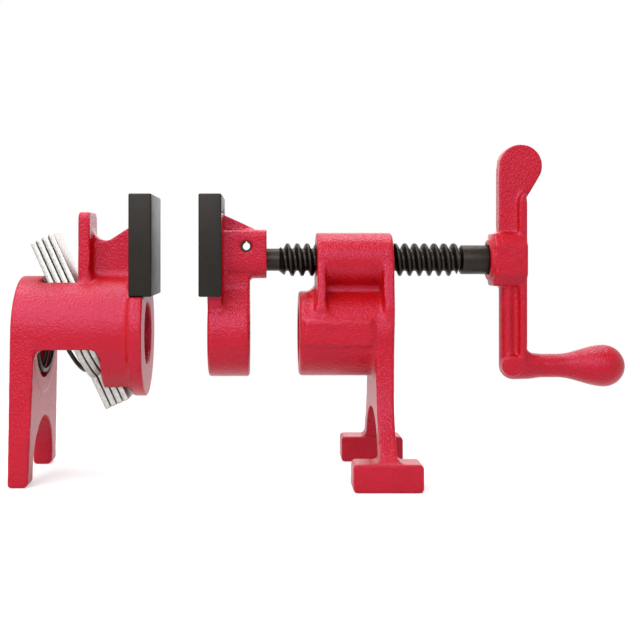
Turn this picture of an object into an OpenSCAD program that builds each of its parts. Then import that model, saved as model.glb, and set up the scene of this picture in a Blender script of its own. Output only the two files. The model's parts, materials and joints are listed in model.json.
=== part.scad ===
// Pipe clamp fixture set for 3/4 inch pipe, without the pipe.
// Millimetres. +X runs along the pipe from the tail stock to the crank, +Z is up, and the
// origin is on the pipe axis at the mouth of the head stock's threaded pipe socket.

/* [Pipe and layout] */
// Radius of the smooth bores that slide on the 26.7 mm pipe
pipe_bore_r = 13.7; // [13.6:0.05:14]
// Radius of the threaded pipe socket, at the tips of its thread
socket_r = 11.8; // [11.6:0.05:12]
// Depth of the threaded pipe socket
socket_depth = 29; // [26:0.5:30]
// Height of the pipe axis above the surface that the feet stand on
axis_h = 61; // [60:0.5:66]
// Height of the spindle axis above the pipe axis
throat = 31.8; // [31.5:0.1:32]
// Gap between the two jaw pads as shown
jaw_gap = 19.5; // [19.3:0.1:30]

/* [Head stock] */
// Length of the barrel that holds the pipe
barrel_len = 39; // [38:0.5:44]
// Outer radius of the barrel
barrel_r = 18.3; // [17.5:0.1:18.5]
// Outer radius of the boss that the spindle screws through
nut_r = 11.7; // [11:0.1:12]
// Distance from the socket mouth to the near end of the spindle boss
nut_inset = 7.5; // [6:0.5:9]
// Thickness of the leg plate along the pipe
leg_t = 7.4; // [7:0.1:9]
// Length of each foot bar along the pipe
foot_len = 28.2; // [26:0.1:30]
// Height of each foot bar
foot_h = 11.5; // [10:0.5:12]
// Thickness of each foot bar across the pipe
foot_w = 13; // [9:0.5:13.5]
// Overall width over the two foot bars
foot_span = 75; // [74:1:78]

/* [Spindle] */
// Crest radius of the spindle thread
thread_r = 7.15; // [7:0.05:7.2]
// Length of the threaded stretch
thread_len = 76.7; // [74:0.1:77]
// Radius of the smooth journal inside the moving jaw
journal_r = 4.85; // [4.6:0.05:4.9]
// Radius at the bottom of the journal's groove
groove_r = 3.3; // [3.2:0.05:3.4]
// Radius of the plain shank next to the crank
shank_r = 6.3; // [6:0.1:6.5]

/* [Crank] */
// Distance from the spindle axis to the grip axis
crank_r = 45.9; // [44:0.1:48]
// Distance from the spindle axis to the centre of the round upper end
upper_reach = 40.5; // [38:0.1:42]
// Radius of the round upper end
upper_r = 9.2; // [9:0.1:10.5]
// Radius of the grip's neck
neck_r = 5.1; // [4.8:0.05:5.5]
// Radius of the ball at the end of the grip
ball_r = 9.05; // [8.5:0.05:9.5]

/* [Moving jaw] */
// Outer radius of the ring that rides on the pipe
ring_r = 18.6; // [18.2:0.1:18.8]
// Outer diameter of the hollow spring pin that holds the spindle
pin_d = 4.76; // [4.7:0.02:4.8]

/* [Jaw pads] */
// Width of a pad across the pipe
pad_w = 40; // [39:0.5:42]
// Height of a pad
pad_h = 43; // [42.5:0.5:44]
// Thickness of a pad along the pipe
pad_t = 9.6; // [9:0.1:10]
// Thickness of the pad's working face
pad_face_t = 3.5; // [3:0.1:3.6]

/* [Tail stock] */
// Outer radius of the housing
shell_r = 24.8; // [24.8:0.1:25.4]
// Radius of the cavity that holds the clutch
cavity_r = 21; // [21:0.1:21.2]
// Overall width over the two tail legs
tail_span = 58; // [57:0.5:60]

/* [Clutch] */
// Thickness of one clutch plate
plate_t = 2.7; // [2.5:0.05:2.7]
// Lean of the plates from upright at rest, in degrees
plate_tilt = 24.4; // [24:0.1:24.6]
// Wire diameter of the clutch spring
wire_d = 1.8; // [1.6:0.1:1.8]

/* [Hidden] */
$fn = 64;

red = "#c8102e";
black = "#2b2a29";
steel = "#c9c9c6";
over = 1;              // how far a cutting shape runs past the face that it cuts
fit = 0.1;             // play of a running fit, on the radius
floor_z = -axis_h;

// Places along the pipe
leg_x = barrel_len - leg_t;
foot_x = 20.5;
pin_x = -22.6;
jaw_back_x = -32.7;    // back face of the moving pad, where the boss starts
jaw_front_x = jaw_back_x - pad_t + pad_face_t;
pad_front_x = jaw_back_x - pad_t;
boss_end_x = -13.9;
ring_end_x = -21.1;
thread_x = -8.5;
hub_x = 81.7;
hub_end_x = 97.8;
tail_face_x = pad_front_x - jaw_gap;      // working face of the tail pad
tail_plate_x = tail_face_x - pad_face_t;  // front of the tail's jaw plate
tail_back_x = tail_face_x - pad_t;        // back of the tail pad and of the jaw plate
tail_rear_x = -119.5;
wall_x = -109.5;       // inner face of the tail's rear wall
front_wall_x = -75;    // front end of the tail's cavity
skirt_x = -83;         // where the tail's full round front begins

// Pads and jaw plates
pad_z = 16.5;
plate_half_w = 17;
plate_top = 52;

// Clutch: the stack leans on the front edge of the slot, at this point
pivot_x = -94.3;
pivot_z = cavity_r;
plate_pitch = plate_t + 0.1;
plate_up = 24.7;       // length of a plate above the pivot
plate_down = 53.2;     // length of a plate below the pivot
plate_hole_r = 14;
plate_body_r = 20;
slot_half_w = 10.3;
slot_x = pivot_x + 0.3;
slot_low_z = 10;

// ---------------------------------------------------------------- helpers

// Solid cylinder along X, from x0 to x1, at height z
module rod_x(r, x0, x1, z = 0)
    translate([x0, 0, z]) rotate([0, 90, 0]) cylinder(r = r, h = x1 - x0);

// Solid cone along X
module cone_x(r0, r1, x0, x1, z = 0)
    translate([x0, 0, z]) rotate([0, 90, 0]) cylinder(r1 = r0, r2 = r1, h = x1 - x0);

// Solid cylinder along Y
module rod_y(r, half, x, z)
    translate([x, half, z]) rotate([90, 0, 0]) cylinder(r = r, h = 2 * half);

// A (y, z) outline carried from x0 to x1
module across(x0, x1) translate([x0, 0, 0]) rotate([90, 0, 90]) linear_extrude(x1 - x0) children();

// An (x, z) outline carried from y0 to y1
module along(y0, y1)
    translate([0, y1, 0]) rotate([90, 0, 0]) linear_extrude(y1 - y0) children();

// Box between two corners
module block(a, b) translate(a) cube(b - a);

// Cylinder along X with a chamfer of c at both ends
module drum_x(r, x0, x1, z, c) {
    rod_x(r, x0 + c, x1 - c, z);
    cone_x(r - c, r, x0, x0 + c, z);
    cone_x(r, r - c, x1 - c, x1, z);
}

// A (radius, x) outline turned round an axis along X at height z
module rotate_x(z) translate([0, 0, z]) rotate([0, 90, 0]) rotate_extrude() children();

// Points of an arc from angle a0 to a1
function arc(cx, cy, r, a0, a1, n = 8) =
    [for (i = [0 : n]) let (a = a0 + (a1 - a0) * i / n) [cx + r * cos(a), cy + r * sin(a)]];

// Step from 0 to 1 with flat ends
function smooth(t) = t <= 0 ? 0 : t >= 1 ? 1 : t * t * (3 - 2 * t);

// Rectangle with rounded corners, between two corners
module round_rect(a, b, r) {
    polygon(concat(
        arc(b[0] - r, b[1] - r, r, 0, 90, 6), arc(a[0] + r, b[1] - r, r, 90, 180, 6),
        arc(a[0] + r, a[1] + r, r, 180, 270, 6), arc(b[0] - r, a[1] + r, r, 270, 360, 6)));
}

// ---------------------------------------------------------------- head stock

foot_top = floor_z + foot_h;

// Rear face of the head's end wall and leg, which lean with the draft of the casting
function head_rear_x(z) = barrel_len + 0.5 + 0.022 * z;

// Everything in front of that face, from height z0 to z1
module before_rear_face(z0, z1) along(-50, 50)
    polygon([[-10, z0], [head_rear_x(z0), z0], [head_rear_x(z1), z1], [-10, z1]]);

// Outline of the leg plate, from the barrel down to the feet; its sides flare out ever faster
module head_leg_outline() {
    top_z = 4;
    top_half = barrel_r - 0.4;
    low_half = foot_span / 2;
    flare = 3.2;
    arch_r = 16;
    arch_z = floor_z + 13;
    arch_stretch = 1.35;
    foot_in = foot_span / 2 - foot_w;
    side = [for (i = [0 : 14]) let (t = i / 14)
        [top_half + (low_half - top_half) * pow(t, flare), top_z + (foot_top - 1 - top_z) * t]];
    difference() {
        polygon(concat(side, [for (i = [len(side) - 1 : -1 : 0]) [-side[i][0], side[i][1]]]));
        translate([0, arch_z]) scale([arch_stretch, 1]) circle(r = arch_r, $fn = 48);
        translate([-foot_in + 1, floor_z - over]) square([2 * foot_in - 2, foot_h + over + 1]);
    }
}

// Outline of the wall between the spindle boss and the barrel
module head_rib_outline(w)
    polygon([[-w, 0], [w, 0], [w - 1, 12], [nut_r + 0.5, throat - 2], [nut_r - 0.3, throat + 1],
        [-nut_r + 0.3, throat + 1], [-nut_r - 0.5, throat - 2], [-w + 1, 12]]);

module head_casting() color(red) {
    rib_t = 3.6;
    boss_x = barrel_len + 1.2;      // crank end of the spindle boss
    toe_r = 3.2;                    // fillet from the leg plate to the long side of a foot bar
    rib_x = nut_inset + rib_t;
    difference() {
        union() {
            drum_x(barrel_r, 0, barrel_len, 0, 0.8);
            rotate_x(throat) polygon(concat([[0, nut_inset], [nut_r - 0.4, nut_inset],
                [nut_r, nut_inset + 0.4]], arc(nut_r - 1.2, boss_x - 1.2, 1.2, 0, 90, 5), [[0, boss_x]]));
            // end walls of the side pockets and the web between them
            across(nut_inset, rib_x) head_rib_outline(barrel_r - 1.1);
            intersection() {
                across(barrel_len - rib_t, boss_x + 1) head_rib_outline(barrel_r - 0.4);
                before_rear_face(-1, throat + nut_r);
            }
            block([nut_inset + 1, -4.5, 4], [barrel_len - 1, 4.5, throat]);
            // the left wall spreads at its foot
            intersection() {
                across(nut_inset - 5, rib_x + 3) head_rib_outline(barrel_r - 1.1);
                along(-barrel_r, barrel_r) polygon([[nut_inset + 1, 21], [nut_inset, 21],
                    [nut_inset - 0.6, 14], [nut_inset - 1.6, 10], [nut_inset - 4, 6],
                    [nut_inset - 4, 3], [rib_x + 1.7, 3], [rib_x + 1.7, 6], [rib_x + 0.6, 10],
                    [rib_x, 15], [rib_x - 1, 15]]);
            }
            // leg plate
            intersection() {
                across(leg_x, barrel_len + 2) head_leg_outline();
                before_rear_face(floor_z, 6);
            }
            // corner fillet under the spindle boss
            along(-7, 7) polygon(concat([[nut_inset + 1, barrel_r - 2]],
                arc(nut_inset - 4, barrel_r + 4, 4, -90, 0, 6), [[nut_inset + 1, barrel_r + 6]]));
            // foot bars with fillets up to the legs
            for (side = [-1, 1]) translate([0, side * (foot_span - foot_w) / 2, 0]) {
                along(-foot_w / 2, foot_w / 2)
                    round_rect([foot_x, floor_z], [foot_x + foot_len, foot_top], 1.6);
                intersection() {
                    along(-foot_w / 2, foot_w / 2) polygon(concat(
                        [[leg_x - 1.5, foot_top - 1]],
                        arc(leg_x - 1.5, foot_top + 1.5, 1.5, -90, 0, 4),
                        arc(head_rear_x(foot_top) + toe_r - 0.1, foot_top + toe_r, toe_r, 180, 270, 6),
                        [[head_rear_x(foot_top) + toe_r, foot_top - 1]]));
                    translate([0, -side * (foot_span - foot_w) / 2, 0])
                        across(leg_x - 2, barrel_len + toe_r) head_leg_outline();
                }
            }
            // plain raised band on the side of the barrel
            block([2, -barrel_r - 0.7, -4], [30.3, -barrel_r + 3, 6.8]);
        }
        // threaded pipe socket, here at the tips of its thread
        rod_x(socket_r, -over, socket_depth);
        // hole for the spindle
        rod_x(thread_r + fit, nut_inset - over, boss_x + over, throat);
    }
}

// ---------------------------------------------------------------- spindle and crank

module spindle() color(black) {
    tip_x = jaw_back_x + 2.2;
    groove_half = pin_d / 2 + 0.12;
    shank_x = thread_x + thread_len;
    difference() {
        union() {
            cone_x(journal_r - 0.6, journal_r, tip_x, tip_x + 0.6, throat);
            rod_x(journal_r, tip_x + 0.6, thread_x, throat);
            drum_x(thread_r, thread_x, shank_x, throat, 1);
            rod_x(shank_r, shank_x - 1, hub_x + 2, throat);
            rod_x(5, hub_x + 1, hub_end_x, throat);
            cone_x(5, 4, hub_end_x, hub_end_x + 0.8, throat);
        }
        // groove that the pin sits in
        difference() {
            rod_x(journal_r + over, pin_x - groove_half, pin_x + groove_half, throat);
            rod_x(groove_r, pin_x - groove_half - over, pin_x + groove_half + over, throat);
        }
    }
}

module crank_handle() color(red) {
    arm_x = 86.3;                       // back of the upper arm
    low_arm_x = 87;                     // back of the lower arm
    web_half = 3.6;
    flange_half = 6.2;
    flange_x = hub_end_x - 3.6;         // inner side of the flange on the arms' outer face
    rib_x = low_arm_x + 3.2;            // middle of the lower arm's round rib
    rib_half = 4.7;
    hub_flat = 6.2;                     // half the height of the hub's flat sides
    hub_half = 11.3;
    hub_half_w = 9.5;
    elbow_r = 6;
    grip_z = throat - crank_r;
    fillet_r = 5;
    end_x = 95.65;
    ball_x = 132;
    neck_end_x = 112;
    // half of the lower arm's section: rib, groove and flange
    low_half = concat([for (a = [180 : -16 : 52]) [rib_x + 3.2 * cos(a), rib_half * sin(a)]],
        [[flange_x - 0.7, web_half], [flange_x, web_half + 0.2], [flange_x + 0.4, flange_half - 0.6],
         [flange_x + 0.9, flange_half], [hub_end_x, flange_half]]);
    difference() {
        union() {
            // hub
            across(hub_x + 1.5, hub_end_x - 0.4) translate([0, throat]) polygon([
                [hub_half_w, hub_flat], [5.4, hub_half], [-5.4, hub_half], [-hub_half_w, hub_flat],
                [-hub_half_w, -hub_flat], [-5.4, -hub_half], [5.4, -hub_half], [hub_half_w, -hub_flat]]);
            rod_x(9, hub_x, hub_x + 2, throat);
            // upper arm: a web, a flange on its outer face, and the round end
            along(-web_half, web_half) polygon(concat([[arm_x, throat], [hub_end_x, throat],
                [hub_end_x, throat + 26]],
                arc(end_x, throat + upper_reach, upper_r, -28, 166, 24),
                [[arm_x, throat + upper_reach - 3]]));
            along(-flange_half, flange_half) polygon([[flange_x, throat], [hub_end_x, throat],
                [hub_end_x, throat + 26], [flange_x + 2.6, throat + 30], [flange_x, throat + 26]]);
            // lower arm
            translate([0, 0, grip_z]) linear_extrude(crank_r) polygon(concat(low_half,
                [for (i = [len(low_half) - 1 : -1 : 1]) [low_half[i][0], -low_half[i][1]]]));
            // fillet from the lower arm to the grip
            along(-web_half, web_half) polygon(concat([[hub_end_x - 1, grip_z]],
                [[hub_end_x + fillet_r, grip_z]],
                arc(hub_end_x + fillet_r, grip_z + neck_r + fillet_r - 0.3, fillet_r, -90, -180, 6),
                [[hub_end_x - 1, grip_z + neck_r + fillet_r]]));
            // round boss on the near side of the elbow
            along(-flange_half + 0.1, 0) translate([low_arm_x + 4.4, grip_z + 0.4]) circle(r = 4.5);
            // grip, turned round its own axis: elbow, neck, smooth flare and round end
            translate([0, 0, grip_z]) rotate([0, 90, 0]) rotate_extrude() polygon(concat(
                arc(0, low_arm_x + elbow_r, elbow_r, -90, 0, 8),
                [[neck_r + 0.7, hub_end_x + 2], [neck_r, hub_end_x + 7]],
                [for (i = [0 : 11]) let (t = i / 12)
                    [neck_r + (ball_r - neck_r) * smooth(t), neck_end_x + (ball_x - neck_end_x) * t]],
                arc(0, ball_x, ball_r, 0, 90, 10)));
        }
        rod_x(5.02, hub_x - over, hub_end_x + over, throat);
        rod_x(shank_r + 0.02, hub_x - over, hub_x + 2.02, throat);
    }
}

// ---------------------------------------------------------------- moving jaw

pin_z = throat + groove_r + 0.12 + pin_d / 2;

module moving_jaw() color(red) {
    boss_low = throat - 8;
    boss_top = throat + 12.8;
    neck_half = 8.2;
    difference() {
        union() {
            drum_x(ring_r, jaw_front_x, ring_end_x, 0, 0.8);
            // jaw plate inside the pad, running down to the ring
            across(jaw_front_x, jaw_back_x) polygon([[-plate_half_w, pad_z + 1],
                [-14, 8], [14, 8], [plate_half_w, pad_z + 1], [plate_half_w, plate_top],
                [-plate_half_w, plate_top]]);
            // neck between ring and boss, on a shoulder of the ring
            across(jaw_back_x - 1, ring_end_x) polygon([[-14, 11], [14, 11], [13.6, 13], [8.8, 19.2],
                [neck_half, 19.3], [neck_half, boss_low + 4], [-neck_half, boss_low + 4],
                [-neck_half, 19.3], [-8.8, 19.2], [-13.6, 13]]);
            // spindle boss, deeper above the spindle because the pin crosses it there
            across(jaw_back_x - 1, boss_end_x) polygon(concat(
                arc(7.8, boss_top - 2.5, 2.5, 0, 90, 5), arc(-7.8, boss_top - 2.5, 2.5, 90, 180, 5),
                arc(-3.3, boss_low + 7, 7, 180, 270, 7), arc(3.3, boss_low + 7, 7, 270, 360, 7)));
            // triangular rib over the boss
            along(-4.5, 4.5) polygon([[jaw_back_x - 1, boss_top - 1], [-16.5, boss_top - 1],
                [-18, boss_top], [jaw_back_x, plate_top - 0.6], [jaw_back_x - 1, plate_top - 0.6]]);
        }
        rod_x(pipe_bore_r, jaw_front_x - over, ring_end_x + over);
        rod_x(journal_r + fit, jaw_back_x + 2, boss_end_x + over, throat);
        rod_y(pin_d / 2 + 0.01, 12, pin_x, pin_z);
    }
}

module spindle_retaining_pin() color(black) difference() {
    rod_y(pin_d / 2, 9.6, pin_x, pin_z);
    rod_y(pin_d / 2 - 0.75, 9.6 + over, pin_x, pin_z);
    block([pin_x - 0.4, -9.6 - over, pin_z + 1], [pin_x + 0.4, 9.6 + over, pin_z + 4]);
}

// ---------------------------------------------------------------- jaw pads

// Pad with its working face towards -X at x = 0, and its back open for the jaw plate
module pad_shape() difference() {
    translate([0, 0, pad_z]) union() {
        c = 0.8;
        block([c, -pad_w / 2, c], [pad_t, pad_w / 2, pad_h - c]);
        block([c, -pad_w / 2 + c, 0], [pad_t, pad_w / 2 - c, pad_h]);
        block([0, -pad_w / 2 + c, c], [pad_t, pad_w / 2 - c, pad_h - c]);
    }
    block([pad_face_t - 0.05, -plate_half_w - 0.05, pad_z - over],
        [pad_t + over, plate_half_w + 0.05, plate_top + 0.05]);
    // moulded notch at the middle of the top lip
    block([pad_t - 2, -1.5, plate_top - 0.5], [pad_t + over, 1.5, plate_top + 1.4]);
}

module moving_jaw_pad() color(black) translate([pad_front_x, 0, 0]) pad_shape();

module tail_jaw_pad() color(black) translate([tail_face_x, 0, 0]) mirror([1, 0, 0]) pad_shape();

// ---------------------------------------------------------------- tail stock

tail_arch_r = 19;
tail_arch_z = floor_z + 6;
shell_edge_z = -5.2;   // lower edge of the housing over its open underside

// Outline of the rear wall and its two legs
module tail_leg_outline() difference() {
    union() {
        circle(r = shell_r, $fn = 96);
        polygon([[-shell_r, 0], [-tail_span / 2, floor_z], [tail_span / 2, floor_z], [shell_r, 0]]);
    }
    translate([0, tail_arch_z]) circle(r = tail_arch_r, $fn = 64);
    translate([-tail_arch_r, floor_z - over]) square([2 * tail_arch_r, tail_arch_z - floor_z + over]);
}

module tail_casting() color(red) {
    flange_r = 27;
    tab_back_x = -89;
    web_half = 4;
    cove_r = 3.2;          // fillet from the web to the housing
    cove_y = web_half + cove_r;
    cove_z = sqrt(pow(shell_r + cove_r, 2) - pow(cove_y, 2));
    difference() {
        union() {
            drum_x(shell_r, tail_rear_x, tail_back_x - 0.1, 0, 0.8);
            // rear wall and legs, thinner towards the feet
            intersection() {
                across(tail_rear_x, wall_x) tail_leg_outline();
                along(-50, 50) polygon([[tail_rear_x - 0.5, 30], [tail_rear_x, floor_z + 1],
                    [tail_rear_x + 1, floor_z], [-112.4, floor_z], [-111, floor_z + 1.6],
                    [wall_x, -6], [wall_x, 30]]);
            }
            // jaw plate, with a round flange under the pad
            across(tail_back_x, tail_plate_x) {
                intersection() {
                    circle(r = flange_r, $fn = 96);
                    translate([-40, -40]) square([80, 40 + pad_z - 0.2]);
                }
                translate([-plate_half_w, 0]) square([2 * plate_half_w, plate_top]);
            }
            across(tail_back_x - 1, tail_back_x + 1) intersection() {
                circle(r = shell_r, $fn = 96);
                translate([-40, -40]) square([80, 40 + pad_z - 0.2]);
            }
            // finger tab and the web behind it
            across(slot_x, tab_back_x) polygon(concat([[-11, 18], [11, 18]],
                arc(7, 49.2, 3, 0, 90, 5), arc(-7, 49.2, 3, 90, 180, 5)));
            for (side = [0, 1]) mirror([0, side, 0]) across(tab_back_x - 1, tail_back_x + 1)
                polygon(concat([[web_half - 1, 22]], arc(cove_y, cove_z, cove_r, 255, 180, 5),
                    [[web_half - 1, cove_z]]));
            along(-11, 11) polygon(concat([[tab_back_x - 1, 21]],
                arc(tab_back_x + 1.4, shell_r + 1.4, 1.4, 270, 180, 4), [[tab_back_x - 1, shell_r + 1.4]]));
            along(-web_half, web_half) polygon(concat([[tab_back_x - 1, 22], [tab_back_x - 1, 44.5]],
                arc(-83.4, 45.6, 5.5, 196, 300, 8), [[tail_back_x + 1, 47.6], [tail_back_x + 1, 22]]));
        }
        // cavity for the clutch, and the seat of the spring in the rear wall
        rod_x(cavity_r, wall_x, front_wall_x);
        rod_x(19, wall_x - 5, wall_x + over);
        // open underside, and the notch that the lower ends of the plates pass through
        along(-40, 40) round_rect([wall_x, floor_z - 10], [skirt_x, shell_edge_z], 4);
        block([skirt_x - over, -10.5, floor_z], [-72.8, 10.5, -10]);
        // slot for the upper ends of the plates, its front face leaning as they do inside
        along(-slot_half_w, slot_half_w) polygon([[wall_x, slot_low_z],
            [slot_x + (pivot_z - slot_low_z) * tan(plate_tilt), slot_low_z],
            [slot_x, pivot_z], [slot_x, shell_r + over], [wall_x, shell_r + over]]);
        // pipe bores
        rod_x(pipe_bore_r, tail_rear_x - over, tail_plate_x + over);
    }
}

// ---------------------------------------------------------------- clutch

// One plate, upright, its hole on the axis: face towards +X at x = 0
module plate_shape() {
    top_half = 9.8;
    low_half = 9.5;
    hole_z = -pivot_z;
    translate([-plate_t, 0, 0]) across(0, plate_t) difference() {
        union() {
            intersection() {
                translate([0, hole_z]) circle(r = plate_body_r, $fn = 96);
                translate([-18.5, hole_z - 30]) square([37, 60]);
            }
            round_rect([-top_half, hole_z], [top_half, plate_up], 1);
            round_rect([-low_half, -plate_down], [low_half, hole_z], 1);
        }
        translate([0, hole_z]) circle(r = plate_hole_r, $fn = 96);
    }
}

// Plate number i of the stack, counted from the rear, at rest on the slot's edge
module clutch_plate(i) color(steel)
    translate([pivot_x, 0, pivot_z]) rotate([0, -plate_tilt, 0])
        translate([-(4 - i) * plate_pitch, 0, 0]) plate_shape();

module clutch_plate_1() clutch_plate(1);
module clutch_plate_2() clutch_plate(2);
module clutch_plate_3() clutch_plate(3);
module clutch_plate_4() clutch_plate(4);

// ---------------------------------------------------------------- clutch spring

// Angles run round the pipe axis from +Y, so 90 is the top and 180 the near side.
coil_r = 16;
wall_turns = 1.75;      // turns that lie in the seat of the rear wall
cross_turns = 0.5;      // turn that crosses to the plates, over the top
plate_turns = 0.75;     // turn that lies on the first plate
wall_pitch = 2.4;
plate_rise = 2.4;       // distance per turn from the plate's face
curl_rings = 8;
wire_sides = 6;
spring_start = 90;
spring_turns = wall_turns + cross_turns + plate_turns;
seat_x = wall_x - 5 + wire_d / 2 + 0.1;

// X of the first plate's rear face at height z, less room for the wire
function face_x(z) = pivot_x - (3 * plate_pitch + plate_t) / cos(plate_tilt)
    - (z - pivot_z) * tan(plate_tilt) - (wire_d / 2 + 0.1) / cos(plate_tilt);

// Centre of the wire after t turns
function coil_point(t) =
    let (a = spring_start + 360 * t, z = coil_r * sin(a),
        from_wall = seat_x + wall_pitch * min(t, wall_turns + cross_turns),
        to_plate = face_x(z) - plate_rise * max(0, spring_turns - max(t, wall_turns)),
        w = smooth((t - wall_turns) / cross_turns))
    [from_wall * (1 - w) + to_plate * w, coil_r * cos(a), z];

coil_n = round(spring_turns * curl_rings);
coil = [for (i = [0 : coil_n]) coil_point(i / curl_rings)];

function unit(v) = v / norm(v);

// Ring of points round the wire at point i of the path
function wire_ring(path, i) =
    let (n = len(path) - 1, d = unit(path[min(i + 1, n)] - path[max(i - 1, 0)]),
        out = unit(cross(d, [1, 0, 0])), side = cross(d, out))
    [for (k = [0 : wire_sides - 1]) let (a = 360 * k / wire_sides)
        path[i] + wire_d / 2 * (cos(a) * out + sin(a) * side)];

// Closed tube through the rings, its end caps fans of triangles
module swept_wire(path) {
    n = len(path);
    m = wire_sides;
    points = [for (i = [0 : n - 1]) each wire_ring(path, i)];
    walls = [for (i = [0 : n - 2], k = [0 : m - 1]) let (a = i * m + k, b = i * m + (k + 1) % m)
        each [[a, b, b + m], [a, b + m, a + m]]];
    last = (n - 1) * m;
    caps = [for (k = [1 : m - 2]) each [[0, k + 1, k], [last, last + k, last + k + 1]]];
    polyhedron(points = points, faces = concat(walls, caps));
}

// Least distance from the wire to any other turn of itself, less one wire diameter
fine_rings = 24;
fine = [for (i = [0 : fine_rings * spring_turns]) coil_point(i / fine_rings)];
coil_gap = min([for (i = [0 : len(fine) - 1], j = [i + fine_rings / 2 : 1 : len(fine) - 1])
    norm(fine[i] - fine[j])]) - wire_d;
echo(least_gap_of_spring_to_itself_mm = coil_gap);

module clutch_spring() color(black) swept_wire(coil);

head_casting();
spindle();
crank_handle();
moving_jaw();
moving_jaw_pad();
spindle_retaining_pin();
tail_casting();
tail_jaw_pad();
clutch_plate_1();
clutch_plate_2();
clutch_plate_3();
clutch_plate_4();
clutch_spring();
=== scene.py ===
# %% [markdown]
# # Pipe clamp stocks: the looks
# The two stocks of a woodworking pipe clamp: castings under a red powder coat, a screw
# of blackened steel, steel clutch plates and moulded jaw pads. Their sizes and joints come from the
# imported CAD model. This script only gives each piece the shape and surface that the eye
# expects, so the model is loaded first.

# %% Load the imported model
import json
import math

import bpy
import numpy as np
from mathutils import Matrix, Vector

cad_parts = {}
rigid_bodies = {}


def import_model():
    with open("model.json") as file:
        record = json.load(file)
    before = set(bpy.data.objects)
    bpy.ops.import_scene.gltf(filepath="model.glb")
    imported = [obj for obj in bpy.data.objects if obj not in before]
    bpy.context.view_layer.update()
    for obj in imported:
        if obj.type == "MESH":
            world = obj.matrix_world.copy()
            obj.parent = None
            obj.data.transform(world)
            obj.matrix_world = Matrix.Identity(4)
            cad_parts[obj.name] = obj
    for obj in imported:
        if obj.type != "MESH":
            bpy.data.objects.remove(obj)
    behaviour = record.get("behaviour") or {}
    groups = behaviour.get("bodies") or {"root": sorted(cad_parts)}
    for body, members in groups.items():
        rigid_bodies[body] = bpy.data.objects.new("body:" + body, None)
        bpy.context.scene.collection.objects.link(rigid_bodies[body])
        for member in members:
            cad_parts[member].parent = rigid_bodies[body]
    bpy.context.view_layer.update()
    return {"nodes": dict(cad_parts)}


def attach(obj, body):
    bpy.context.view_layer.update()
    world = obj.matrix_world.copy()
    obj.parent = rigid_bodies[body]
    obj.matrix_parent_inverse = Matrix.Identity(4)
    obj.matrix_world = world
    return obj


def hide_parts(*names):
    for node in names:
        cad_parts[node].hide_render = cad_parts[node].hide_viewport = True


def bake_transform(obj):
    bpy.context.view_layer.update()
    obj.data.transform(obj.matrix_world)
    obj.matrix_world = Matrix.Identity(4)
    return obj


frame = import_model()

mm = 0.001

# %% [markdown]
# ## The camera
# The photograph looks straight across the pipe: upright edges stay upright, and edges along the
# pipe stay level. So the camera looks along +Y without any tilt, and a small shift of the lens,
# as on an architect's camera, puts the object where the photograph has it.
# Scale and vanishing point give the distance: 2.3 pixels for a millimetre at the pipe.

# %% Place the camera
FRAME_PX = 640
FOCAL_PX = 1030
DISTANCE = 447 * mm
PX_PER_MM = FOCAL_PX / (DISTANCE / mm)
VANISH_PX = (262, 250)
ORIGIN_PX = 298.6      # where the mouth of the head's barrel stands in the photograph
EYE_Z = 36 * mm
eye_x = (VANISH_PX[0] - ORIGIN_PX) / PX_PER_MM * mm

bpy.ops.object.camera_add(location=(eye_x, -DISTANCE, EYE_Z), rotation=(math.pi / 2, 0, 0))
camera = bpy.context.object
camera.name = "camera"
camera.data.sensor_width = 36
camera.data.lens = FOCAL_PX / FRAME_PX * camera.data.sensor_width
camera.data.shift_x = (FRAME_PX / 2 - VANISH_PX[0]) / FRAME_PX
camera.data.shift_y = (VANISH_PX[1] - FRAME_PX / 2) / FRAME_PX
camera.data.clip_start = 0.01
bpy.context.scene.camera = camera
bpy.context.scene.view_settings.view_transform = "Standard"
print(f"lens {camera.data.lens:.1f} mm, {PX_PER_MM:.3f} pixels per mm at the pipe")

# %% [markdown]
# ## Small tools for materials
# Colours are picked as sRGB hex values, the way a colour picker shows them, but shaders count in
# linear light, so one function converts. A second one adds a node, sets its values and draws its
# links. The rest are the few patterns that every finish here is made of, with sizes in real
# millimetres, so that each material reads as a short list.

# %% Material helpers
def linear(hex_colour):
    """sRGB hex, such as c8102e, to linear RGBA."""
    parts = [int(hex_colour[i:i + 2], 16) / 255 for i in (0, 2, 4)]
    return [c / 12.92 if c <= 0.04045 else ((c + 0.055) / 1.055) ** 2.4 for c in parts] + [1.0]


def new_material(name):
    """An empty node material, its tree and its shader node."""
    material = bpy.data.materials.new(name)
    material.use_nodes = True
    return material, material.node_tree, material.node_tree.nodes["Principled BSDF"]


def add_node(tree, kind, settings=None, values=None, links=None):
    """Adds one node. values fills its sockets, and links feeds them from other nodes' sockets."""
    node = tree.nodes.new(kind)
    for key, value in (settings or {}).items():
        setattr(node, key, value)
    for key, value in (values or {}).items():
        node.inputs[key].default_value = value
    for key, source in (links or {}).items():
        tree.links.new(source, node.inputs[key])
    return node


def object_place(tree):
    """Where a point lies on the object, in metres: patterns stay put when the piece moves."""
    return add_node(tree, "ShaderNodeTexCoord").outputs["Object"]


def noise(tree, place, grain, detail):
    """Noise whose grain is that many millimetres wide."""
    node = add_node(tree, "ShaderNodeTexNoise", links={"Vector": place},
                    values={"Scale": 1 / (grain * mm), "Detail": detail})
    return node.outputs["Fac"]


def two_colours(tree, first, second, factor):
    """A colour between two hex values."""
    node = add_node(tree, "ShaderNodeMix", {"data_type": "RGBA"},
                    {6: linear(first), 7: linear(second)}, {0: factor})
    return node.outputs[2]


def spread(tree, low, high, factor):
    """A value between low and high."""
    node = add_node(tree, "ShaderNodeMapRange", values={"To Min": low, "To Max": high},
                    links={"Value": factor})
    return node.outputs["Result"]


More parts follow.
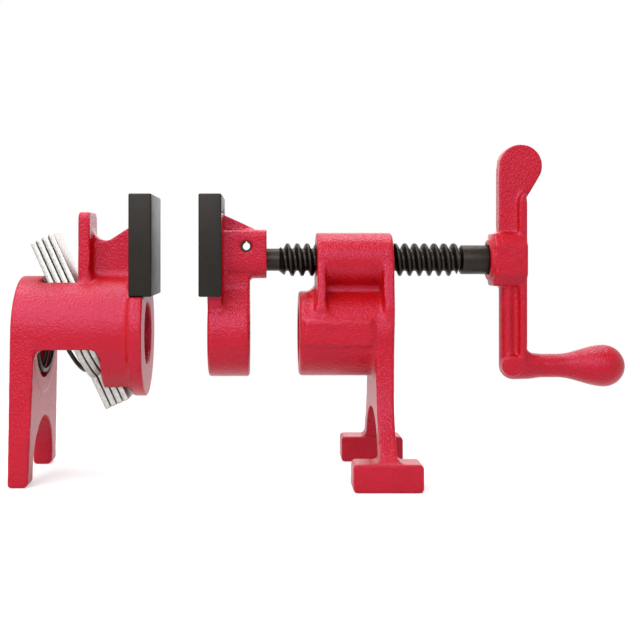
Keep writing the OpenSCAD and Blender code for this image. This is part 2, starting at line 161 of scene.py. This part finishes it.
def relief(tree, height, strength, depth, over=None):
    """A bump depth millimetres high, laid over another one where over is given."""
    node = add_node(tree, "ShaderNodeBump", links={"Height": height},
                    values={"Strength": strength, "Distance": depth * mm})
    if over is not None:
        tree.links.new(over, node.inputs["Normal"])
    return node.outputs["Normal"]


def dress(tree, shader, colour, rough, normal):
    """Links the three patterns that every finish here has."""
    for socket, source in (("Base Color", colour), ("Roughness", rough), ("Normal", normal)):
        tree.links.new(source, shader.inputs[socket])


print("material helpers ready")

# %% [markdown]
# ## Floor, backdrop and light
# A catalogue photograph like this one is taken on white, under large soft lamps. The floor is a
# pale card that catches a soft shadow near the feet. Further out it fades to plain white for the
# camera, so that no horizon shows, and polished surfaces mirror that same white. A big softbox
# hangs over the camera, a long strip below it draws the pink line of light along each round form,
# and a strip above lights the tops. The other lamps only keep the shadows open.

# %% Seen directly or in a mirror
def seen_white(tree):
    """1 where a ray comes from the camera, a mirroring surface or glass, else 0."""
    path = add_node(tree, "ShaderNodeLightPath")
    mirror = add_node(tree, "ShaderNodeMath", {"operation": "MAXIMUM"},
                      links={0: path.outputs["Is Camera Ray"], 1: path.outputs["Is Glossy Ray"]})
    both = add_node(tree, "ShaderNodeMath", {"operation": "MAXIMUM"},
                    links={0: mirror.outputs[0], 1: path.outputs["Is Transmission Ray"]})
    return both.outputs[0]


print("white for the eye, for mirrors and for glass")

# %% Floor
FLOOR_Z = -61 * mm
FLOOR_SIZE = 8                 # metres
SHADOW_RING = (0.17, 0.34)     # the floor turns to plain white between these distances, in metres
CARD_GLOW = 0.45               # lifts the card towards the photograph's white near the feet
bpy.ops.mesh.primitive_plane_add(size=FLOOR_SIZE, location=(0, 0, FLOOR_Z))
floor = bpy.context.object
floor.name = "floor"
material, tree, card = new_material("matt_white_card")
card.inputs["Base Color"].default_value = linear("dedede")
card.inputs["Roughness"].default_value = 0.9
card.inputs["Specular IOR Level"].default_value = 0.1
seen = seen_white(tree)
lifted = add_node(tree, "ShaderNodeMath", {"operation": "MULTIPLY"}, {1: CARD_GLOW}, {0: seen})
lift = add_node(tree, "ShaderNodeEmission", links={"Strength": lifted.outputs[0]})
near = add_node(tree, "ShaderNodeAddShader", links={0: card.outputs[0], 1: lift.outputs[0]})
away = add_node(tree, "ShaderNodeVectorMath", {"operation": "LENGTH"},
                links={0: object_place(tree)})
fade = add_node(tree, "ShaderNodeMapRange", {"interpolation_type": "SMOOTHSTEP"},
                {"From Min": SHADOW_RING[0], "From Max": SHADOW_RING[1]},
                {"Value": away.outputs["Value"]})
white = add_node(tree, "ShaderNodeMath", {"operation": "MULTIPLY"},
                 links={0: fade.outputs["Result"], 1: seen})
plain = add_node(tree, "ShaderNodeEmission", values={"Strength": 1.0})
mixed = add_node(tree, "ShaderNodeMixShader",
                 links={0: white.outputs[0], 1: near.outputs[0], 2: plain.outputs[0]})
tree.links.new(mixed.outputs[0], tree.nodes["Material Output"].inputs["Surface"])
floor.data.materials.append(material)
print("floor at", FLOOR_Z / mm, "mm")

# %% World
SKY_LIGHT = 0.12       # what the white backdrop gives as light, where the eye sees 1
world = bpy.data.worlds.new("white_studio")
bpy.context.scene.world = world
world.use_nodes = True
tree = world.node_tree
sky = tree.nodes["Background"]
sky.inputs["Color"].default_value = (1, 1, 1, 1)
tree.links.new(spread(tree, SKY_LIGHT, 1.0, seen_white(tree)), sky.inputs["Strength"])
print("world: white for the camera, an eighth of that as light")

# %% Lamps
LAMPS = {  # name: place, what it is aimed at, size along and across, power
    "key_softbox": ((-0.35, -0.42, 0.7), (-0.02, 0.0, 0.0), (0.6, 0.5), 4.9),
    "front_strip": ((-0.1, -0.82, 0.42), (-0.03, 0.0, 0.0), (0.9, 0.26), 4.7),
    "top_strip": ((-0.05, 0.2, 0.76), (0.0, 0.0, 0.0), (0.9, 0.3), 5.8),
    "left_softbox": ((-0.95, -0.45, 0.3), (0.0, 0.0, 0.0), (0.5, 0.5), 1.2),
    "right_softbox": ((0.9, -0.6, 0.35), (0.03, 0.0, 0.0), (0.5, 0.5), 0.6),
    "rear_softbox": ((0.2, 0.9, 0.35), (0.0, 0.0, 0.0), (0.6, 0.6), 1.5),
}
for name, (place, aim, (along, across), power) in LAMPS.items():
    bpy.ops.object.light_add(type="AREA", location=place)
    lamp = bpy.context.object
    lamp.name = name
    lamp.data.shape = "RECTANGLE"
    lamp.data.size, lamp.data.size_y = along, across
    lamp.data.energy = power
    lamp.rotation_euler = (Vector(aim) - Vector(place)).to_track_quat("-Z", "Y").to_euler()
print("lamps:", ", ".join(LAMPS))

# %% [markdown]
# ## Red powder coat
# Powder coat is a plastic dust, sprayed on dry and melted in an oven. It flows out into a skin a
# tenth of a millimetre thick with an orange-peel surface, and here it also follows the sandy skin
# of the iron casting below. So one noise of about a millimetre makes the peel, a finer one
# the sand, and a broad one lets the colour drift a little. The skin itself is a half-gloss plastic.

# %% Red powder coat
def red_powder_coat():
    material, tree, shader = new_material("red_powder_coat_on_cast_iron")
    place = object_place(tree)
    drift = noise(tree, place, 14, 2)
    peel = noise(tree, place, 0.9, 1.5)
    sand = noise(tree, place, 0.45, 1)
    skin = relief(tree, peel, 0.75, 0.42, over=relief(tree, sand, 0.4, 0.05))
    dress(tree, shader, two_colours(tree, "a5080b", "b50d11", drift),
          spread(tree, 0.28, 0.38, peel), skin)
    shader.inputs["IOR"].default_value = 1.5
    shader.inputs["Specular IOR Level"].default_value = 0.42
    shader.inputs["Specular Tint"].default_value = (0.7, 0.52, 1.0, 1.0)
    return material


RED = red_powder_coat()
print("made", RED.name)

# %% [markdown]
# ## Black oxide, zinc and moulded plastic
# The screw, its pin and the spring are blackened in a hot salt bath and oiled: the steel stays a
# metal, but a brownish black one with a soft sheen. The clutch plates are punched from sheet
# and zinc plated, bright and slightly mottled. The pads are moulded in black plastic with a satin
# surface.

# %% Black oxide steel
def black_oxide_steel():
    material, tree, shader = new_material("black_oxide_on_turned_steel")
    place = object_place(tree)
    bath = noise(tree, place, 3, 4)
    # tool marks round the axis, drawn as coarse as 0.35 mm so that they show
    stretch = add_node(tree, "ShaderNodeMapping", values={"Scale": (1.0, 0.08, 0.08)},
                       links={"Vector": place})
    marks = noise(tree, stretch.outputs["Vector"], 0.35, 1)
    dress(tree, shader, two_colours(tree, "292523", "38332f", bath),
          spread(tree, 0.32, 0.5, bath), relief(tree, marks, 0.3, 0.05))
    shader.inputs["Metallic"].default_value = 1.0
    return material


BLACK_STEEL = black_oxide_steel()
print("made", BLACK_STEEL.name)


# %% Zinc plated sheet steel
def zinc_plated_steel():
    material, tree, shader = new_material("zinc_plated_punched_steel")
    place = object_place(tree)
    spangle = noise(tree, place, 1.1, 3)
    shear = noise(tree, place, 0.5, 3)
    dress(tree, shader, two_colours(tree, "84827e", "d2d0cc", spangle),
          spread(tree, 0.34, 0.52, spangle), relief(tree, shear, 0.6, 0.16))
    shader.inputs["Metallic"].default_value = 1.0
    return material


ZINC = zinc_plated_steel()
print("made", ZINC.name)


# %% Moulded black plastic
def moulded_plastic():
    material, tree, shader = new_material("moulded_black_polyethylene")
    place = object_place(tree)
    cloud = noise(tree, place, 6, 3)
    spark = noise(tree, place, 0.45, 2)
    dress(tree, shader, two_colours(tree, "120d0a", "1d1712", cloud),
          spread(tree, 0.38, 0.52, cloud), relief(tree, spark, 0.35, 0.06))
    shader.inputs["IOR"].default_value = 1.49
    shader.inputs["Specular IOR Level"].default_value = 0.22
    return material


PLASTIC = moulded_plastic()
print("made", PLASTIC.name)

# %% [markdown]
# ## Small tools for shapes
# Operators act on whatever is selected, so each piece starts with nothing selected, and faces are
# then picked in code by where they lie. A finished piece keeps its place in its mesh, with its
# object at the origin, which is also what the patterns above count on.

# %% Shape helpers
def clear_selection():
    if bpy.context.object and bpy.context.object.mode != "OBJECT":
        bpy.ops.object.mode_set(mode="OBJECT")
    bpy.ops.object.select_all(action="DESELECT")


def make_active(obj):
    clear_selection()
    obj.select_set(True)
    bpy.context.view_layer.objects.active = obj


def modify(obj, kind, **settings):
    """Adds one modifier to obj and applies it."""
    make_active(obj)
    modifier = obj.modifiers.new(kind.lower(), kind)
    for key, value in settings.items():
        setattr(modifier, key, value)
    bpy.ops.object.modifier_apply(modifier=modifier.name)


def cut(obj, tool):
    """Takes the closed shape tool out of obj."""
    modify(obj, "BOOLEAN", operation="DIFFERENCE", object=tool, solver="EXACT")
    bpy.data.objects.remove(tool)


def unite(obj, other):
    """Joins the closed shape other to obj."""
    modify(obj, "BOOLEAN", operation="UNION", object=other, solver="EXACT")
    bpy.data.objects.remove(other)


DOUBLE = 0.001 * mm      # points closer than this are one point


def tidy_mesh(obj):
    """Merges doubles and turns all faces outwards."""
    make_active(obj)
    bpy.ops.object.mode_set(mode="EDIT")
    bpy.ops.mesh.select_all(action="SELECT")
    bpy.ops.mesh.remove_doubles(threshold=DOUBLE)
    bpy.ops.mesh.normals_make_consistent(inside=False)
    bpy.ops.object.mode_set(mode="OBJECT")


def finish_piece(obj, body, material, node):
    """Puts the piece's place into its mesh, gives it its material, hangs it on the body it rides on
    and hides the CAD part it stands for.
    """
    make_active(obj)
    bpy.ops.object.transform_apply(location=True, rotation=True, scale=True)
    obj.data.materials.clear()
    obj.data.materials.append(material)
    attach(obj, body)
    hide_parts(node)
    count = sum(len(p.vertices) - 2 for p in obj.data.polygons)
    print(f"{obj.name}: {count} triangles, rides on {body}")


print("shape helpers ready")

# %% [markdown]
# ## The castings
# Sand cast iron has no sharp edges: the sand rounds every outer corner by about a millimetre, and
# the pattern maker fills the inner ones with wax to a radius of three or more, because the iron
# would crack there. The CAD solids have the right sizes with crisp edges, so each casting starts
# as a merged copy of its solid. A voxel remesh turns it into an even net and a smoothing pass
# rounds it all over. Then the hollow corners are picked, as the places where a vertex lies below
# its neighbours, and are smoothed much longer, which fills them. Broad faces stay where they are.

# %% Hollow corners
HOLLOW = 0.05                     # how far below its neighbours a vertex lies there, in voxels
SOFT_RINGS, SOFT_PASSES = 2, 6    # a wider, lighter pass blends the fill into the faces


def hollow_corners(mesh, voxel):
    """True for each vertex that lies in a corner with a radius of less than about 4 mm."""
    count = len(mesh.vertices)
    place, normal = np.empty(count * 3), np.empty(count * 3)
    mesh.vertices.foreach_get("co", place)
    mesh.vertex_normals.foreach_get("vector", normal)
    place, normal = place.reshape(-1, 3), normal.reshape(-1, 3)
    ends = np.empty(len(mesh.edges) * 2, dtype=np.int32)
    mesh.edges.foreach_get("vertices", ends)
    a, b = ends.reshape(-1, 2).T
    ties = np.bincount(a, minlength=count) + np.bincount(b, minlength=count)
    middle = np.stack([np.bincount(a, place[b, k], count) + np.bincount(b, place[a, k], count)
                       for k in range(3)], axis=1) / ties[:, None]
    return ((middle - place) * normal).sum(axis=1) / voxel > HOLLOW


def fill_inner_corners(piece, voxel, reach, passes):
    """Smooths the hollow corners and a band of reach millimetres around them."""
    hollow = hollow_corners(piece.data, voxel)
    make_active(piece)
    bpy.context.tool_settings.mesh_select_mode = (True, False, False)
    bpy.ops.object.mode_set(mode="EDIT")
    bpy.ops.mesh.select_all(action="DESELECT")
    bpy.ops.object.mode_set(mode="OBJECT")
    piece.data.vertices.foreach_set("select", hollow)
    bpy.ops.object.mode_set(mode="EDIT")
    for _ in range(round(reach * mm / voxel)):
        bpy.ops.mesh.select_more()
    bpy.ops.mesh.vertices_smooth(factor=0.5, repeat=passes)
    for _ in range(SOFT_RINGS):
        bpy.ops.mesh.select_more()
    bpy.ops.mesh.vertices_smooth(factor=0.5, repeat=SOFT_PASSES)
    bpy.ops.object.mode_set(mode="OBJECT")
    print(f"{piece.name}: {int(hollow.sum())} vertices in hollow corners")


print("corner filling ready")

# %% Cast pieces from their solids
def cast_piece(node, name, voxel, passes, reach, fill):
    """node's solid, rounded by passes of smoothing and then filled in its corners."""
    mesh = bpy.data.meshes.new_from_object(frame["nodes"][node])
    piece = bpy.data.objects.new(name, mesh)
    bpy.context.scene.collection.objects.link(piece)
    tidy_mesh(piece)
    modify(piece, "REMESH", mode="VOXEL", voxel_size=voxel)
    modify(piece, "SMOOTH", factor=0.5, iterations=passes)
    fill_inner_corners(piece, voxel, reach, fill)
    return piece


head = cast_piece("head_casting", "cast_head_stock", 0.6 * mm, 4, 1.2, 12)
jaw = cast_piece("moving_jaw", "cast_moving_jaw", 0.5 * mm, 4, 1.0, 14)
tail = cast_piece("tail_casting", "cast_tail_stock", 0.65 * mm, 4, 1.3, 16)
crank = cast_piece("crank_handle", "cast_crank", 0.5 * mm, 5, 0.8, 8)

# %% [markdown]
# ## The screw
# The spindle is turned from bar: a journal with a groove that the pin sits in, a coarse
# thread of six turns to the inch, a plain shank, and a tenon that is peened over in the crank. The
# plain parts are a profile spun round the axis. The thread is the outline of one pitch
# that a Screw modifier carries round and along, cut square at both ends. It starts two turns early,
# and a phase keeps its points off the planes of the cuts.

# %% Turned profile
INCH = 25.4
SPINDLE_Z = 31.8
PITCH = INCH / 6
ROUND_STEPS = 72


def draw_profile(name, points, centre_z):
    """An open chain of edges through (x, r) points in mm, drawn above an axis along X."""
    clear_selection()
    x, r = points[0]
    bpy.ops.mesh.primitive_plane_add(size=mm, location=(x * mm, 0, (centre_z + r) * mm))
    obj = bpy.context.object
    obj.name = name
    bpy.ops.object.mode_set(mode="EDIT")
    bpy.ops.mesh.select_all(action="SELECT")
    bpy.ops.mesh.merge(type="CENTER")
    for (x0, r0), (x1, r1) in zip(points, points[1:]):
        step = ((x1 - x0) * mm, 0, (r1 - r0) * mm)
        bpy.ops.mesh.extrude_region_move(TRANSFORM_OT_translate={"value": step})
    return obj


def turned(name, points, centre_z):
    """A closed solid of revolution about an axis along X."""
    obj = draw_profile(name, points, centre_z)
    bpy.ops.mesh.select_all(action="SELECT")
    bpy.ops.mesh.spin(steps=ROUND_STEPS, angle=2 * math.pi, center=(0, 0, centre_z * mm),
                      axis=(1, 0, 0))
    bpy.ops.object.mode_set(mode="OBJECT")
    tidy_mesh(obj)
    return obj


BLANK = [  # (x, r) in mm
    (-30.5, 0), (-30.5, 4.25), (-29.9, 4.85),                                  # nose
    (-25.2, 4.85), (-25.1, 4.7), (-25.1, 3.4), (-25.0, 3.3),                   # groove of the pin
    (-20.2, 3.3), (-20.1, 3.4), (-20.1, 4.7), (-20.0, 4.85),
    (-8.2, 4.85), (-7.6, 4.6), (0, 4.6), (66.5, 4.6),                          # under the thread
    (68.2, 4.8), (69.4, 4.8), (69.9, 5.6), (70.5, 6.3), (82.9, 6.3), (83.5, 6.1),    # shank
    (83.7, 5.0), (97.2, 5.0), (97.8, 5.3), (98.2, 5.1), (98.6, 3.4), (98.6, 0),      # tenon
]
spindle = turned("spindle_with_thread", BLANK, SPINDLE_Z)
print("spindle blank:", len(spindle.data.polygons), "faces")

# %% Threads
WELD = 0.002 * mm           # the Screw modifier joins points closer than this
ON_PLANE = 0.0005 * mm      # a point closer than this to the plane of a cut counts as on it


def bisect_end(obj, x, side):
    """Cuts obj square at x in mm, drops what lies beyond, and closes the cut."""
    make_active(obj)
    bpy.ops.object.mode_set(mode="EDIT")
    bpy.ops.mesh.select_all(action="SELECT")
    bpy.ops.mesh.bisect(plane_co=(x * mm, 0, 0), plane_no=(side, 0, 0), use_fill=True,
                        clear_outer=True, threshold=ON_PLANE)
    bpy.ops.object.mode_set(mode="OBJECT")


def threaded_rod(name, shape, radii, pitch, reach, centre_z, steps, phase):
    """A closed threaded rod along X. shape is one pitch, as shares of the pitch and the depth."""
    (low, high), (from_x, to_x) = radii, reach
    begin = from_x - 2 * pitch + phase
    rod = draw_profile(name, [(begin + u * pitch, low + v * (high - low)) for u, v in shape],
                       centre_z)
    bpy.ops.object.mode_set(mode="OBJECT")
    make_active(rod)
    bpy.context.scene.cursor.location = (0, 0, centre_z * mm)
    bpy.ops.object.origin_set(type="ORIGIN_CURSOR")
    modify(rod, "SCREW", axis="X", angle=2 * math.pi, screw_offset=pitch * mm,
           iterations=math.ceil((to_x - from_x) / pitch) + 3, steps=steps, render_steps=steps,
           use_merge_vertices=True, merge_threshold=WELD)
    make_active(rod)
    bpy.ops.object.transform_apply(location=True, rotation=True, scale=True)
    tidy_mesh(rod)
    bisect_end(rod, from_x, -1)
    bisect_end(rod, to_x, 1)
    tidy_mesh(rod)
    return rod


SCREW_SHAPE = [(0.0, 0.0), (0.1, 0.0), (0.17, 0.12), (0.3, 0.72), (0.37, 0.93), (0.45, 1.0),
               (0.55, 1.0), (0.63, 0.93), (0.7, 0.72), (0.83, 0.12), (0.9, 0.0), (1.0, 0.0)]
ROOT_R, CREST_R = 4.9, 7.15
THREAD_REACH = (-8.5, 68.2)
RUN_OUT = [(-9.5, 8), (-9.5, 5.0), (-8.4, 5.0), (-5.4, 7.4), (-5.4, 8), (-9.5, 8)]
unite(spindle, threaded_rod("thread", SCREW_SHAPE, (ROOT_R, CREST_R), PITCH, THREAD_REACH,
                            SPINDLE_Z, steps=56, phase=1.57))
cut(spindle, turned("run_out", RUN_OUT, SPINDLE_Z))
make_active(spindle)
bpy.ops.object.shade_smooth_by_angle(angle=math.radians(35))
finish_piece(spindle, "screw", BLACK_STEEL, "spindle")

# %% [markdown]
# ## The pipe socket, and the castings finished
# The head stock is screwed onto the pipe, so its barrel has a tapped pipe thread of 14 turns to
# the inch, which shows from the tail's side. A chamfer at the mouth leads the pipe in. The tap is
# made like the screw above, a little thinner than the bore at its root, and cut out of the casting.

# %% Tapped socket
TAP_SHAPE = [(0.0, 0.0), (0.12, 0.0), (0.46, 1.0), (0.54, 1.0), (0.88, 0.0), (1.0, 0.0)]
CHAMFER = [(-2, 0), (-2, 15.6), (0.9, 12.7), (0.9, 0)]
TAP_ROOT_R, TAP_CREST_R = 11.6, 12.95
TAP_REACH = (-2, 26)
cut(head, turned("mouth", CHAMFER, 0))
cut(head, threaded_rod("tap", TAP_SHAPE, (TAP_ROOT_R, TAP_CREST_R), INCH / 14, TAP_REACH, 0,
                       steps=64, phase=0.79))
print("socket tapped:", len(head.data.polygons), "faces")

# %% Finish the castings
for piece, body, node in ((head, "head", "head_casting"), (jaw, "jaw", "moving_jaw"),
                          (tail, "tail", "tail_casting"), (crank, "screw", "crank_handle")):
    make_active(piece)
    bpy.ops.object.shade_smooth_by_angle(angle=math.radians(45))
    finish_piece(piece, body, RED, node)

# %% [markdown]
# ## The jaw pads
# Each pad is a thick moulded cap, open at its back and below, that is pushed over a jaw plate. A
# block of the right size loses its pocket and the small notch in its top lip, and a bevel
# of less than a millimetre gives it the light line that a moulded edge shows.

# %% Pads
PAD = {"face": 3.5, "width": 40, "thick": 9.6, "low": 16.5, "high": 59.5, "pocket_high": 52.05,
       "pocket_half": 17.05, "notch_half": 1.5, "notch_high": 1.35, "lip": 2, "edge": 0.7}


def block_between(name, low, high):
    """A box between two corners in mm."""
    clear_selection()
    middle = [(a + b) / 2 * mm for a, b in zip(low, high)]
    bpy.ops.mesh.primitive_cube_add(size=1, location=middle)
    obj = bpy.context.object
    obj.name = name
    obj.scale = [(b - a) * mm for a, b in zip(low, high)]
    bpy.ops.object.transform_apply(location=True, rotation=True, scale=True)
    return obj


def jaw_pad(name, front_x, facing, body, node):
    """A pad whose working face is at front_x; facing is the way from that face to its back."""
    back_x = front_x + facing * PAD["thick"]
    inner_x = front_x + facing * PAD["face"]
    past_x = back_x + facing
    pad = block_between(name, (min(front_x, back_x), -PAD["width"] / 2, PAD["low"]),
                        (max(front_x, back_x), PAD["width"] / 2, PAD["high"]))
    cut(pad, block_between("pocket", (min(inner_x, past_x), -PAD["pocket_half"], PAD["low"] - 1),
                           (max(inner_x, past_x), PAD["pocket_half"], PAD["pocket_high"])))
    lip_x = back_x - PAD["lip"] * facing
    half, top = PAD["notch_half"], PAD["pocket_high"] + PAD["notch_high"]
    cut(pad, block_between("notch", (min(lip_x, past_x), -half, PAD["pocket_high"] - 1),
                           (max(lip_x, past_x), half, top)))
    modify(pad, "BEVEL", width=PAD["edge"] * mm, segments=3, limit_method="ANGLE",
           angle_limit=math.radians(40), harden_normals=False)
    make_active(pad)
    bpy.ops.object.shade_smooth_by_angle(angle=math.radians(35))
    finish_piece(pad, body, PLASTIC, node)


jaw_pad("moulded_pad_moving", -42.3, 1, "jaw", "moving_jaw_pad")
jaw_pad("moulded_pad_tail", -61.8, -1, "tail", "tail_jaw_pad")

# %% [markdown]
# ## The clutch plates
# Four plates of 2.7 mm steel are punched alike, so one is rounded along its edges and then copied
# three times, each copy a plate's pitch further along the leaning stack. The broad faces move in a
# little first, because real sheet is never so flat that a stack shows no dark gaps.

# %% Clutch plates
PLATE_PITCH = 2.8
PLATE_GAP = 0.15      # on each broad face
PLATE_EDGE = 0.35
first = bpy.data.objects.new("punched_plate_4",
                             bpy.data.meshes.new_from_object(frame["nodes"]["clutch_plate_4"]))
bpy.context.scene.collection.objects.link(first)
tidy_mesh(first)
modify(first, "DECIMATE", decimate_type="DISSOLVE", angle_limit=math.radians(1))
TILT = math.radians(24.4)
LEAN = Vector((math.cos(TILT), 0, math.sin(TILT)))   # across the leaning plates
for way in (-1, 1):
    make_active(first)
    bpy.ops.object.mode_set(mode="EDIT")
    bpy.ops.mesh.select_all(action="DESELECT")
    bpy.ops.object.mode_set(mode="OBJECT")
    for face in first.data.polygons:
        face.select = face.normal.dot(LEAN) * way > 0.99
    bpy.context.tool_settings.mesh_select_mode = (False, False, True)
    bpy.ops.object.mode_set(mode="EDIT")
    bpy.ops.transform.translate(value=LEAN * -way * PLATE_GAP * mm)
    bpy.ops.object.mode_set(mode="OBJECT")
modify(first, "BEVEL", width=PLATE_EDGE * mm, segments=2, limit_method="ANGLE",
       angle_limit=math.radians(50))
make_active(first)
bpy.ops.object.shade_smooth_by_angle(angle=math.radians(35))
plates = {4: first}
for number in (3, 2, 1):
    copy = bpy.data.objects.new(f"punched_plate_{number}", first.data.copy())
    bpy.context.scene.collection.objects.link(copy)
    copy.location = LEAN * (number - 4) * PLATE_PITCH * mm
    plates[number] = copy
for number, plate in plates.items():
    finish_piece(plate, "clutch", ZINC, f"clutch_plate_{number}")

# %% [markdown]
# ## The clutch spring
# One round wire: it lies two turns deep in the seat of the rear wall, crosses over to the plates
# and ends against the first one. The route is the same formula as in the CAD source, with more
# rings and rounder wire.

# %% Spring
WIRE_R, COIL_R = 0.9, 16.0
WALL_TURNS, CROSS_TURNS, PLATE_TURNS = 1.75, 0.5, 0.75
TURN_PITCH = 2.4              # from the middle of one turn to the next, where they lie close
SEAT_X = -113.5
PIVOT = (-94.3, 21.0)         # x and z of the edge that the plates rock on
STACK = 11.1                  # from that edge through the four plates
AIR = 0.1                     # between the wire and the first plate


def smooth_step(t):
    """0 below 0, 1 above 1, and a soft rise between."""
    t = min(max(t, 0), 1)
    return t * t * (3 - 2 * t)


def face_x(z):
    """Where the wire's middle lies against the first plate, at height z."""
    c = math.cos(TILT)
    return PIVOT[0] - STACK / c - (z - PIVOT[1]) * math.tan(TILT) - (WIRE_R + AIR) / c


def coil_point(t):
    """The middle of the wire after t turns, in mm."""
    a = math.radians(90) + 2 * math.pi * t
    total = WALL_TURNS + CROSS_TURNS + PLATE_TURNS
    z = COIL_R * math.sin(a)
    wall = SEAT_X + TURN_PITCH * min(t, WALL_TURNS + CROSS_TURNS)
    plate = face_x(z) - TURN_PITCH * max(0, total - max(t, WALL_TURNS))
    w = smooth_step((t - WALL_TURNS) / CROSS_TURNS)
    return (wall * (1 - w) + plate * w, COIL_R * math.cos(a), z)


RINGS = 40
count = int((WALL_TURNS + CROSS_TURNS + PLATE_TURNS) * RINGS)
curve = bpy.data.curves.new("spring_route", "CURVE")
curve.dimensions = "3D"
line = curve.splines.new("POLY")
line.points.add(count)
for i, point in enumerate(line.points):
    point.co = [v * mm for v in coil_point(i / RINGS)] + [1]
curve.bevel_depth = WIRE_R * mm
curve.bevel_resolution = 3
curve.use_fill_caps = True
spring = bpy.data.objects.new("wound_spring", curve)
bpy.context.scene.collection.objects.link(spring)
make_active(spring)
bpy.ops.object.convert(target="MESH")
spring = bpy.context.object
tidy_mesh(spring)
make_active(spring)
bpy.ops.object.shade_smooth_by_angle(angle=math.radians(50))
spring.data.materials.clear()
spring.data.materials.append(BLACK_STEEL)
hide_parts("clutch_spring")
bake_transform(spring)
print("spring:", len(spring.data.polygons), "faces")

# %% [markdown]
# ## The spring pin
# The pin's solid already has its bore and slot, so it stays and only gets the oxide.

# %% Pin
pin = frame["nodes"]["spindle_retaining_pin"]
pin.data.materials.clear()
pin.data.materials.append(BLACK_STEEL)
print("pin keeps its CAD shape")
